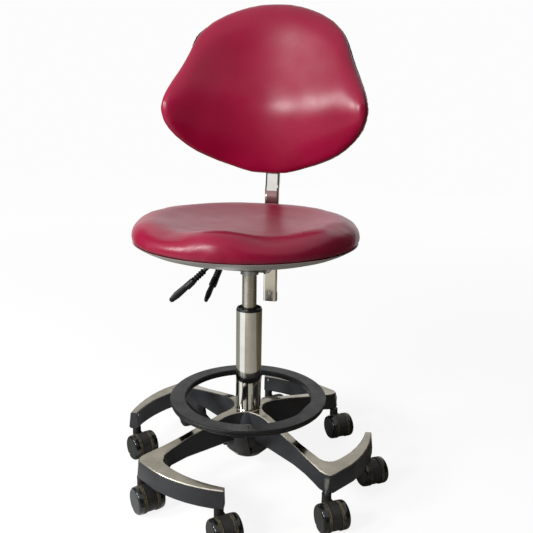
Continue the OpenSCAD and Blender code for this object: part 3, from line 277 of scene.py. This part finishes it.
# The other finishes: material's name, shader's values, size of the patches, two tones, roughness range, size
# and depth of the grain, and for dusty ones how much of the surface each tone takes
MOTTLED = {
    # bright nickel under chrome: mirror-like, with finger smudges
    "chrome": ("bright_chrome_plate", {"Metallic": 1.0}, 30 * MM, ("D8D6D0", "E4E3DE"), (0.03, 0.09),
               20 * MM, 0.01 * MM),
    # die-cast aluminium, polished on top: warm, with worn and dull spots and a slightly wavy surface
    "casting": ("polished_cast_aluminium", {"Metallic": 1.0}, 50 * MM, ("827C70", "A09A8C"), (0.1, 0.2),
                20 * MM, 0.2 * MM),
    # the buffed chamfer along the polished face, duller than the rest, in a lighter tone that paints its
    # bright edge highlight
    "edge": ("buffed_aluminium_edge", {"Metallic": 1.0}, 20 * MM, ("A09C91", "B2AEA3"), (0.3, 0.4),
             4 * MM, 0.01 * MM),
    # stove-enamelled side faces: dark grey, with the skin of a sprayed coat
    "enamel": ("stoved_grey_enamel", {"IOR": 1.5}, 60 * MM, ("2A2B30", "34363B"), (0.42, 0.54),
               2.4 * MM, 0.08 * MM),
    # spark-textured polypropylene: satin black, slightly scuffed
    "plastic": ("moulded_black_polypropylene", {"IOR": 1.4}, 30 * MM, ("131416", "1B1C1F"), (0.38, 0.52),
                2 * MM, 0.12 * MM),
    # the backrest's shell: deeper black, a little glossier
    "shell": ("moulded_black_abs", {"IOR": 1.53}, 50 * MM, ("121214", "1B1B1E"), (0.34, 0.46),
              2.2 * MM, 0.1 * MM),
    # the seat's pan: nearly white, with the skin of a polished mould
    "white": ("moulded_white_abs", {"IOR": 1.53, "Coat Weight": 0.8, "Coat Roughness": 0.3}, 70 * MM,
              ("EBE8E3", "F4F2EE"), (0.32, 0.42), 3 * MM, 0.04 * MM),
    # brackets and levers: black paint, semi-gloss
    "paint": ("black_painted_steel", {"IOR": 1.5}, 30 * MM, ("101113", "1A1B1D"), (0.3, 0.45),
              3 * MM, 0.08 * MM),
    # glass-filled nylon, polished in the mould
    "nylon": ("glossy_black_nylon", {"IOR": 1.53}, 12 * MM, ("0C0D0F", "16181A"), (0.12, 0.22),
              4 * MM, 0.02 * MM),
    # the wheels' caps: the same nylon with a satin face
    "cap": ("satin_black_nylon", {"IOR": 1.53}, 10 * MM, ("232729", "2F3334"), (0.42, 0.55),
            1.4 * MM, 0.08 * MM),
    # rubber and plastic that floor dust clings to in patches
    "tread": ("dusty_polyurethane_tread", {"IOR": 1.5}, 6 * MM, ("1F1D19", "6A614A"), (0.62, 0.8),
              1.5 * MM, 0.2 * MM, (0.4, 0.64)),
    # the worn moulding line at the tread's inner edge
    "line": ("worn_polyurethane_edge", {"IOR": 1.5}, 10 * MM, ("3A372F", "6E6754"), (0.62, 0.8),
             1.5 * MM, 0.2 * MM, (0.4, 0.6)),
    "hood": ("dusty_moulded_nylon", {"IOR": 1.53}, 10 * MM, ("1C1C1C", "35322B"), (0.62, 0.8),
             1.5 * MM, 0.2 * MM, (0.45, 0.75)),
    # rotary-cut birch veneers glued crosswise
    "plywood": ("birch_plywood", {"IOR": 1.45}, 20 * MM, ("B08D5E", "D3B384"), (0.5, 0.65),
                1 * MM, 0.1 * MM),
}
FINISHES = {}


def make_finishes():
    """Makes every finish of the stool once."""
    FINISHES["leather"] = leatherette(LEATHER)
    FINISHES.update({key: brushed(*values) for key, values in RINGED.items()})
    FINISHES.update({key: mottled(*values)[0] for key, values in MOTTLED.items()})


# Finish of each CAD node that shows as it is; the rest are replaced
NODE_FINISH = {
    "column_tube": "chrome", "guide_bushing": "plastic", "thrust_bearing": "steel", "caster_stems": "steel",
    "release_housing": "shell", "housing_screws": "steel", "foot_ring": "plastic", "ring_spider": "plastic",
    "ring_screws": "steel", "release_pin": "steel", "piston_rod": "steel", "rod_clip": "steel",
    "gas_cylinder": "satin", "rod_guide": "plastic", "taper_socket": "steel", "mechanism_trough": "paint",
    "pivot_pins": "steel", "seat_plate": "paint", "seat_bolts": "steel", "seat_pan": "white",
    "seat_board": "plywood", "side_lever_rod": "paint", "side_lever_grip": "plastic",
    "front_lever_rod": "paint", "front_lever_grip": "plastic", "back_bracket": "paint",
    "clamp_liner": "plastic", "clamp_knob": "plastic", "back_bar": "chrome", "bar_stop_screw": "steel",
    "back_plate": "paint", "back_screws": "steel",
    **{f"caster_{i}_hood": "hood" for i in range(1, 9)},
}


# Settings that a user would change

class StageSettings(PropertyGroup):
    floor: FloatVectorProperty(name="Floor", description="Colour of the floor and backdrop", subtype="COLOR",
                               size=4, min=0, max=1, default=linear("808080"))
    key_power: FloatProperty(name="Key light", description="Power of each pane of the window-like light",
                             unit="POWER", min=0, default=25.0)
    fill: FloatProperty(name="Fill", description="Strength of the light from all round", min=0, max=2,
                        default=0.22)
    glow: FloatProperty(name="Floor glow", description="How much the floor is lifted to white at the stool",
                        min=0, max=1, default=0.87)
    far_glow: FloatProperty(name="Far floor glow", description="How much the far floor is lifted to white",
                            min=0, max=1, default=0.93)


class PadSettings(PropertyGroup):
    voxel: FloatProperty(name="Cloth size", description="Edge of the cover's mesh before it is swollen",
                         unit="LENGTH", min=0.003, max=0.01, default=4 * MM)
    inset: FloatProperty(name="Inset", description="How much smaller the cover starts than the foam's form",
                         unit="LENGTH", min=0, max=0.005, default=0.8 * MM)
    swell: FloatProperty(name="Swell", description="The most that the filling moves the cover",
                         unit="LENGTH", min=0, max=0.01, default=2.4 * MM)
    pressure: FloatProperty(name="Pressure", description="Push of the filling on the cover", min=0,
                            default=4.0)
    steps: IntProperty(name="Steps", description="Steps of the cover's simulation", min=2, max=40, default=20)
    seat_passes: IntProperty(name="Seat softness", description="Rounds of smoothing of the seat's cover",
                             min=1, max=80, default=28)
    back_passes: IntProperty(name="Back softness", description="Rounds of smoothing of the backrest's cover",
                             min=1, max=80, default=44)
    staple_band: FloatProperty(name="Staple band", description="Height of the seat's edge that staples hold",
                               unit="LENGTH", min=0, max=0.03, default=12 * MM)


class WheelSettings(PropertyGroup):
    radius: FloatProperty(name="Radius", description="Outside radius of a caster wheel", unit="LENGTH",
                          default=25.5 * MM)
    inner: FloatProperty(name="Inner face", description="From the hood's middle to the wheel's inner face",
                         unit="LENGTH", default=9.6 * MM)
    outer: FloatProperty(name="Outer face", description="From the hood's middle to the wheel's outer face",
                         unit="LENGTH", default=25.5 * MM)
    corners: IntProperty(name="Corners", description="Corners round a wheel", min=24, max=128, default=72)


# Camera and studio

# Places below are as the camera sees the room: x to its right, y away from it, z up, from the stool's middle.
# Studio cards that only the shiny parts see, as name, tones, middle and the two half edges that span the card:
# upright ones round the room, and mats on the floor that leave a bright gap at the left
CARDS = (
    ("card_behind_camera", ("B3AB9D", "C0B8AA"), (0.65, -2.5, 1.2), (1.6, 0, 0), (0, 0, 1.15)),
    ("card_right", ("6A5F52", "7A6E60"), (1.75, -0.4, 0.9), (0.4, -1.8, 0), (0, 0, 0.88)),
    ("card_window_wall", ("8E8A83", "9A968F"), (-2.25, -1.1, 1.15), (-0.5, 1.2, 0), (0, 0, 1.1)),
    ("card_left", ("9C9890", "A8A49C"), (-1.33, 0.85, 0.9), (-0.08, 0.65, 0), (0, 0, 0.88)),
    ("floor_mat", ("C9C2B3", "D9D5CC"), (0.352, -1.59, 0.004), (-0.746, -1.065, 0), (0.983, -0.689, 0)),
    # a small dark sheet on the floor, only a painted dark reflection in the polished metal
    ("dark_reflection_card", ("1E262B", "2B3338"), (-0.37, -0.73, 0.006), (-0.034, -0.076, 0),
     (0.012, -0.005, 0)),
    ("floor_mat_right", ("857C64", "978D76"), (1.014, 0.272, 0.003), (0.918, 0.246, 0), (0.259, -0.966, 0)),
    ("floor_mat_left", ("AEAF9F", "BFC0B2"), (-1.215, 0.697, 0.003), (-1.046, -0.091, 0), (-0.07, 0.797, 0)),
)
# The two panes of the window-like light, their size, what they look at and their tone
WINDOW_PANES = (("window_near", (-1.45, -1.55, 1.3)), ("window_far", (-2.05, -0.75, 1.3)))
PANE_SIZE = (0.5, 0.4)
PANE_TARGET = (0, 0.1, 0.7)
PANE_TONE = linear("FFFEFC")
FLOOR_SIZE = 9.0
# Distances from the stool at which the floor's lift to white begins to grow and stops growing
LIFT_FROM, LIFT_TO = 0.7, 3.0


def turned(point):
    """A point given as the camera sees the room, turned into the stool's frame."""
    return Matrix.Rotation(VIEW_TURN, 3, "Z") @ Vector(point)


class STOOL_OT_camera(Operator):
    """Puts the camera where the photograph was taken"""
    bl_idname = "stool.camera"
    bl_label = "Camera"

    def execute(self, context):
        forward = Vector((0, math.cos(VIEW_PITCH), -math.sin(VIEW_PITCH)))
        level_up = Vector((0, math.sin(VIEW_PITCH), math.cos(VIEW_PITCH)))
        level_right = Vector((1, 0, 0))
        right = level_right * math.cos(VIEW_ROLL) + level_up * math.sin(VIEW_ROLL)
        up = -level_right * math.sin(VIEW_ROLL) + level_up * math.cos(VIEW_ROLL)
        lens = bpy.data.cameras.new("camera")
        lens.sensor_width = SENSOR
        lens.lens = VIEW_LENS
        camera = bpy.data.objects.new("camera", lens)
        context.scene.collection.objects.link(camera)
        axes = Matrix((turned(right), turned(up), turned(-forward))).transposed()
        camera.matrix_world = Matrix.Translation(turned(VIEW_PLACE)) @ axes.to_4x4()
        context.scene.camera = camera
        return {"FINISHED"}


def add_pane(context, name, place, power):
    """One pane of the window-like light, a soft rectangular lamp."""
    light = bpy.data.lights.new(name, "AREA")
    light.shape = "RECTANGLE"
    light.size, light.size_y = PANE_SIZE
    light.energy = power
    light.color = PANE_TONE[:3]
    lamp = bpy.data.objects.new(name, light)
    context.scene.collection.objects.link(lamp)
    lamp.location = turned(place)
    lamp.rotation_mode = "QUATERNION"
    lamp.rotation_quaternion = (turned(PANE_TARGET) - lamp.location).to_track_quat("-Z", "Y")
    lamp.visible_camera = False


def seen_directly(tree, path):
    """A node that is 1 for what the camera sees, straight, in a mirror or through something clear."""
    shown = add_node(tree, "ShaderNodeMath", {"operation": "MAXIMUM"})
    tree.links.new(path.outputs["Is Camera Ray"], shown.inputs[0])
    tree.links.new(path.outputs["Is Glossy Ray"], shown.inputs[1])
    clear = add_node(tree, "ShaderNodeMath", {"operation": "MAXIMUM"})
    tree.links.new(shown.outputs["Value"], clear.inputs[0])
    tree.links.new(path.outputs["Is Transmission Ray"], clear.inputs[1])
    return clear


class STOOL_OT_stage(Operator):
    """Lays the floor with its backdrop and sets the soft studio light"""
    bl_idname = "stool.stage"
    bl_label = "Stage"

    def execute(self, context):
        settings = context.scene.stool_stage
        bpy.ops.object.select_all(action="DESELECT")
        bpy.ops.mesh.primitive_plane_add(size=FLOOR_SIZE, location=(0, 0, 0))
        floor = context.object
        floor.name = "studio_floor"
        floor.data.materials.append(self.floor_finish(settings))
        world = bpy.data.worlds.new("studio")
        context.scene.world = world
        world.use_nodes = True
        tree = world.node_tree
        shown = tree.nodes["Background"]
        shown.inputs["Color"].default_value = linear("FCFCFC")
        fill = add_node(tree, "ShaderNodeBackground", {"Color": linear("F4F4F6"), "Strength": settings.fill})
        path = add_node(tree, "ShaderNodeLightPath")
        mix = add_node(tree, "ShaderNodeMixShader", {}, {"Fac": (seen_directly(tree, path), "Value")})
        tree.links.new(fill.outputs["Background"], mix.inputs[1])
        tree.links.new(shown.outputs["Background"], mix.inputs[2])
        tree.links.new(mix.outputs["Shader"], tree.nodes["World Output"].inputs["Surface"])
        for name, place in WINDOW_PANES:
            add_pane(context, name, place, settings.key_power)
        for card in CARDS:
            self.add_card(*card)
        context.scene.view_settings.view_transform = "Standard"
        return {"FINISHED"}

    def add_card(self, name, tones, middle, along, across):
        """One matt studio card for the metal to reflect, without a shadow and unseen by the camera."""
        bpy.ops.object.select_all(action="DESELECT")
        bpy.ops.mesh.primitive_plane_add(size=2.0, location=(0, 0, 0))
        card = bpy.context.object
        card.name = name
        axes = Matrix((turned(along), turned(across), turned(along).cross(turned(across)).normalized()))
        card.data.transform(Matrix.Translation(turned(middle)) @ axes.transposed().to_4x4())
        finish = mottled("studio_card", {"Specular IOR Level": 0.0}, 600 * MM, tones, (0.8, 0.9),
                         10 * MM, 0.1 * MM)[0]
        card.data.materials.append(finish)
        card.visible_camera = False
        card.visible_shadow = False
        card.visible_diffuse = False

    def floor_finish(self, settings):
        """A pale matt floor that the camera sees as white, with the stool's shadow kept."""
        finish, tree, shader = new_finish("matt_studio_paint", {"Roughness": 0.9, "Specular IOR Level": 0.0})
        coords = add_node(tree, "ShaderNodeTexCoord")
        speck = add_node(tree, "ShaderNodeTexNoise", {"Scale": 3.0, "Detail": 2.0},
                         {"Vector": (coords, "Object")})
        tone = add_node(tree, "ShaderNodeMixRGB", {"Color1": settings.floor, "Color2": linear("848484")},
                        {"Fac": (speck, "Fac")})
        tree.links.new(tone.outputs["Color"], shader.inputs["Base Color"])
        path = add_node(tree, "ShaderNodeLightPath")
        strength = add_node(tree, "ShaderNodeMath", {"operation": "MULTIPLY"})
        tree.links.new(seen_directly(tree, path).outputs["Value"], strength.inputs[0])
        # farther out, where the lamps reach less, the floor is lifted more
        reach = add_node(tree, "ShaderNodeVectorMath", {"operation": "LENGTH"})
        tree.links.new(coords.outputs["Object"], reach.inputs[0])
        lift = add_node(tree, "ShaderNodeMapRange", {
            "From Min": LIFT_FROM, "From Max": LIFT_TO, "To Min": settings.glow, "To Max": settings.far_glow},
            {"Value": (reach, "Value")})
        tree.links.new(lift.outputs["Result"], strength.inputs[1])
        tree.links.new(strength.outputs["Value"], shader.inputs["Emission Strength"])
        shader.inputs["Emission Color"].default_value = linear("FFFFFF")
        return finish


# Upholstery

# How the leatherette behaves in the simulation
CLOTH = {"quality": 4, "mass": 0.3, "tension_stiffness": 15, "compression_stiffness": 15,
         "bending_stiffness": 0.5}


def swell(piece, settings, held):
    """Lets the filling push the cover out, no farther than the settings allow; held marks stapled points."""
    rest = points_of(piece)
    group = piece.vertex_groups.new(name="stapled")
    group.add([int(i) for i in np.nonzero(held(rest))[0]], 1.0, "REPLACE")
    cloth = piece.modifiers.new("filling", "CLOTH")
    for key, value in CLOTH.items():
        setattr(cloth.settings, key, value)
    cloth.settings.vertex_group_mass = "stapled"
    cloth.settings.use_pressure = True
    cloth.settings.uniform_pressure_force = settings.pressure
    cloth.settings.effector_weights.gravity = 0.0
    for step in range(1, settings.steps + 1):
        bpy.context.scene.frame_set(step)
    swollen = points_of(piece.evaluated_get(bpy.context.evaluated_depsgraph_get()))
    piece.modifiers.remove(cloth)
    bpy.context.scene.frame_set(1)
    move = swollen - rest
    length = np.maximum(np.linalg.norm(move, axis=1, keepdims=True), SAME_PLACE)
    set_points(piece, rest + move * np.minimum(1.0, settings.swell / length))
    piece.vertex_groups.clear()


def stuff(piece, settings, passes, held):
    """Makes a closed cover from the foam's form: fine mesh, swollen by its filling and softened."""
    foam = points_of(piece)
    low, high = foam.min(axis=0), foam.max(axis=0)
    apply_modifier(piece, "DISPLACE", strength=-settings.inset, mid_level=0.0)
    apply_modifier(piece, "REMESH", mode="VOXEL", voxel_size=settings.voxel)
    apply_modifier(piece, "SMOOTH", factor=0.5, iterations=passes)
    swell(piece, settings, held)
    # stretched leatherette lies without the small folds that the swelling leaves
    apply_modifier(piece, "SMOOTH", factor=0.5, iterations=passes)
    apply_modifier(piece, "SUBSURF", levels=1, render_levels=1)
    # the cover is drawn over the foam again, so that it comes back to the foam's full size
    points = points_of(piece)
    least, most = points.min(axis=0), points.max(axis=0)
    set_points(piece, low + (points - least) / (most - least) * (high - low))
    smooth(piece)


class STOOL_OT_seat_pad(Operator):
    """Upholsters the saddle-shaped seat cushion"""
    bl_idname = "stool.seat_pad"
    bl_label = "Seat cushion"

    def execute(self, context):
        settings = context.scene.stool_pads
        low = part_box("seat_cushion")[0]
        pad = copy_of("seat_cushion", "seat_upholstery")
        stuff(pad, settings, settings.seat_passes, lambda points: points[:, 2] < low.z + settings.staple_band)
        settle(pad, "seat_cushion", "burgundy_leather", FINISHES["leather"])
        return {"FINISHED"}


class STOOL_OT_back_pad(Operator):
    """Upholsters the curved backrest cushion"""
    bl_idname = "stool.back_pad"
    bl_label = "Backrest cushion"

    def execute(self, context):
        settings = context.scene.stool_pads
        pad = copy_of("back_cushion", "back_upholstery")
        # its cover is sewn shut, so nothing holds it
        stuff(pad, settings, settings.back_passes, lambda points: np.zeros(len(points), bool))
        settle(pad, "back_cushion", "burgundy_leather", FINISHES["leather"])
        return {"FINISHED"}


SHELL_VOXEL = 1.9 * MM


class STOOL_OT_shell(Operator):
    """Moulds the backrest's shell without the facets of its solid"""
    bl_idname = "stool.shell"
    bl_label = "Backrest shell"

    def execute(self, context):
        shell = copy_of("back_shell", "moulded_shell")
        # the remesh is finer than half of the shell's thin wall
        apply_modifier(shell, "REMESH", mode="VOXEL", voxel_size=SHELL_VOXEL)
        apply_modifier(shell, "SMOOTH", factor=0.5, iterations=8)
        settle(shell, "back_shell", "black_plastic", FINISHES["shell"])
        smooth(shell, 50)
        return {"FINISHED"}


# Casting

# A face of the casting is a polished top above the first upward share of its normal, and a chamfer above
# the second
TOP_FACE, CHAMFER_FACE = 0.9, 0.35


class STOOL_OT_base(Operator):
    """Polishes the top of the cast base, buffs its chamfers in a lighter tone that paints their edge
    highlight, and enamels its sides
    """
    bl_idname = "stool.base"
    bl_label = "Cast base"

    def execute(self, context):
        base = copy_of("base_casting", "cast_base")
        settle(base, "base_casting", "cast_metal", FINISHES["enamel"], FINISHES["casting"], FINISHES["edge"])
        for face in base.data.polygons:
            if face.normal.z > TOP_FACE:
                face.material_index = 1
            elif face.normal.z > CHAMFER_FACE:
                # the chamfer's lighter tone is partly a painted edge highlight
                face.material_index = 2
        smooth(base, 28)
        return {"FINISHED"}


# Casters

# The wheel's outline from its inner face to its outer one, in mm. First the moulding line, the tread band and
# its groove as (past the inner face, inside the full radius), then the shoulder as (before the outer face,
# inside the full radius)
OUTLINE_INNER = ((0, 1.0), (0.3, 0.1), (0.9, 0), (1.2, 0.3), (5.6, 0.2), (5.9, 0.9), (6.5, 0.9), (6.8, 0.3))
OUTLINE_OUTER = ((6.0, 0.4), (3.4, 0.8), (1.8, 1.6), (0.8, 2.6), (0.2, 3.8), (0, 4.8))
# The cap's rim, step down and slightly dished face, in mm: (inwards, outwards)
CAP_INSETS = ((0.3, 0), (0.4, -0.4), (14.0, 0.25))
# Where the tread and its moulding line end, and how far the cap's face stays inside the rim, in mm
TREAD_END, LINE_END, TREAD_DEPTH, CAP_RIM = 6.0, 1.1, 0.8, 5.4


class STOOL_OT_casters(Operator):
    """Models one twin-wheel tyre and cap and copies it to all sixteen places"""
    bl_idname = "stool.casters"
    bl_label = "Caster wheels"

    def execute(self, context):
        settings = context.scene.stool_wheel
        master = self.model_wheel(settings)
        for number in range(1, 9):
            for side in ("left", "right"):
                node = f"caster_{number}_wheel_{side}"
                joint = JOINT_OF[BODY_OF[node]]
                axle, outward = Vector(joint["pos_m"]), Vector(joint["axis"])
                if outward.dot(centre_of(node) - axle) < 0:
                    outward.negate()
                place = Matrix.Translation(axle) @ outward.to_track_quat("Z", "Y").to_matrix().to_4x4()
                wheel = bpy.data.objects.new(f"caster_{number}_tyre_{side}", master.data.copy())
                context.scene.collection.objects.link(wheel)
                wheel.data.transform(place)
                settle(wheel, node, "caster_plastic")
        bpy.data.objects.remove(master)
        return {"FINISHED"}

    def model_wheel(self, settings):
        """One wheel round the Z axis, its cap towards +Z."""
        full, inner, outer = settings.radius, settings.inner, settings.outer
        outline = [(inner + past * MM, full - inside * MM) for past, inside in OUTLINE_INNER]
        outline += [(outer - before * MM, full - inside * MM) for before, inside in OUTLINE_OUTER]
        bpy.ops.object.select_all(action="DESELECT")
        bpy.ops.mesh.primitive_circle_add(vertices=settings.corners, radius=outline[0][1], fill_type="NGON",
                                          location=(0, 0, 0))
        wheel = bpy.context.object
        wheel.name = "tyre_master"
        edit_all(wheel)
        bpy.ops.transform.translate(value=(0, 0, outline[0][0]))
        before = outline[0]
        for height, radius in outline[1:]:
            bpy.ops.mesh.extrude_region_move(TRANSFORM_OT_translate={"value": (0, 0, height - before[0])})
            share = radius / before[1]
            bpy.ops.transform.resize(value=(share, share, 1))
            before = (height, radius)
        for inwards, outwards in CAP_INSETS:
            bpy.ops.mesh.inset(thickness=inwards * MM, depth=outwards * MM)
        bpy.ops.mesh.select_all(action="SELECT")
        bpy.ops.mesh.normals_make_consistent(inside=False)
        close_edit()
        for finish in ("nylon", "line", "tread", "cap"):
            wheel.data.materials.append(FINISHES[finish])
        for face in wheel.data.polygons:
            reach = Vector(face.center[:2]).length
            if reach > full - TREAD_DEPTH * MM and face.center.z < inner + TREAD_END * MM:
                face.material_index = 1 if face.center.z < inner + LINE_END * MM else 2
            elif face.normal.z > 0.5 and reach < full - CAP_RIM * MM:
                face.material_index = 3
        smooth(wheel, 35)
        return wheel


# Finishes of the CAD nodes that stay

class STOOL_OT_finishes(Operator):
    """Gives every CAD part that shows its own finish"""
    bl_idname = "stool.finishes"
    bl_label = "Part finishes"

    def execute(self, context):
        for node, name in NODE_FINISH.items():
            NODES[node].data.materials.clear()
            NODES[node].data.materials.append(FINISHES[name])
        return {"FINISHED"}


class STOOL_PT_dressing(Panel):
    bl_idname = "STOOL_PT_dressing"
    bl_label = "Clinic stool"
    bl_space_type = "VIEW_3D"
    bl_region_type = "UI"
    bl_category = "Stool"

    def draw(self, context):
        column = self.layout.column(align=True)
        for operator in OPERATORS:
            column.operator(operator.bl_idname)


OPERATORS = (STOOL_OT_camera, STOOL_OT_stage, STOOL_OT_seat_pad, STOOL_OT_back_pad, STOOL_OT_shell,
             STOOL_OT_base, STOOL_OT_casters, STOOL_OT_finishes)
SETTINGS = {"stool_stage": StageSettings, "stool_pads": PadSettings, "stool_wheel": WheelSettings}


def register():
    for kind in (*SETTINGS.values(), *OPERATORS, STOOL_PT_dressing):
        bpy.utils.register_class(kind)
    for name, kind in SETTINGS.items():
        setattr(bpy.types.Scene, name, PointerProperty(type=kind))


def unregister():
    for name in SETTINGS:
        delattr(bpy.types.Scene, name)
    for kind in (STOOL_PT_dressing, *reversed(OPERATORS), *SETTINGS.values()):
        bpy.utils.unregister_class(kind)


def main():
    """Builds the whole scene in order."""
    register()
    make_finishes()
    bpy.ops.stool.camera()
    bpy.ops.stool.stage()
    bpy.ops.stool.seat_pad()
    bpy.ops.stool.back_pad()
    bpy.ops.stool.shell()
    bpy.ops.stool.base()
    bpy.ops.stool.casters()
    bpy.ops.stool.finishes()


if __name__ == "__main__":
    main()
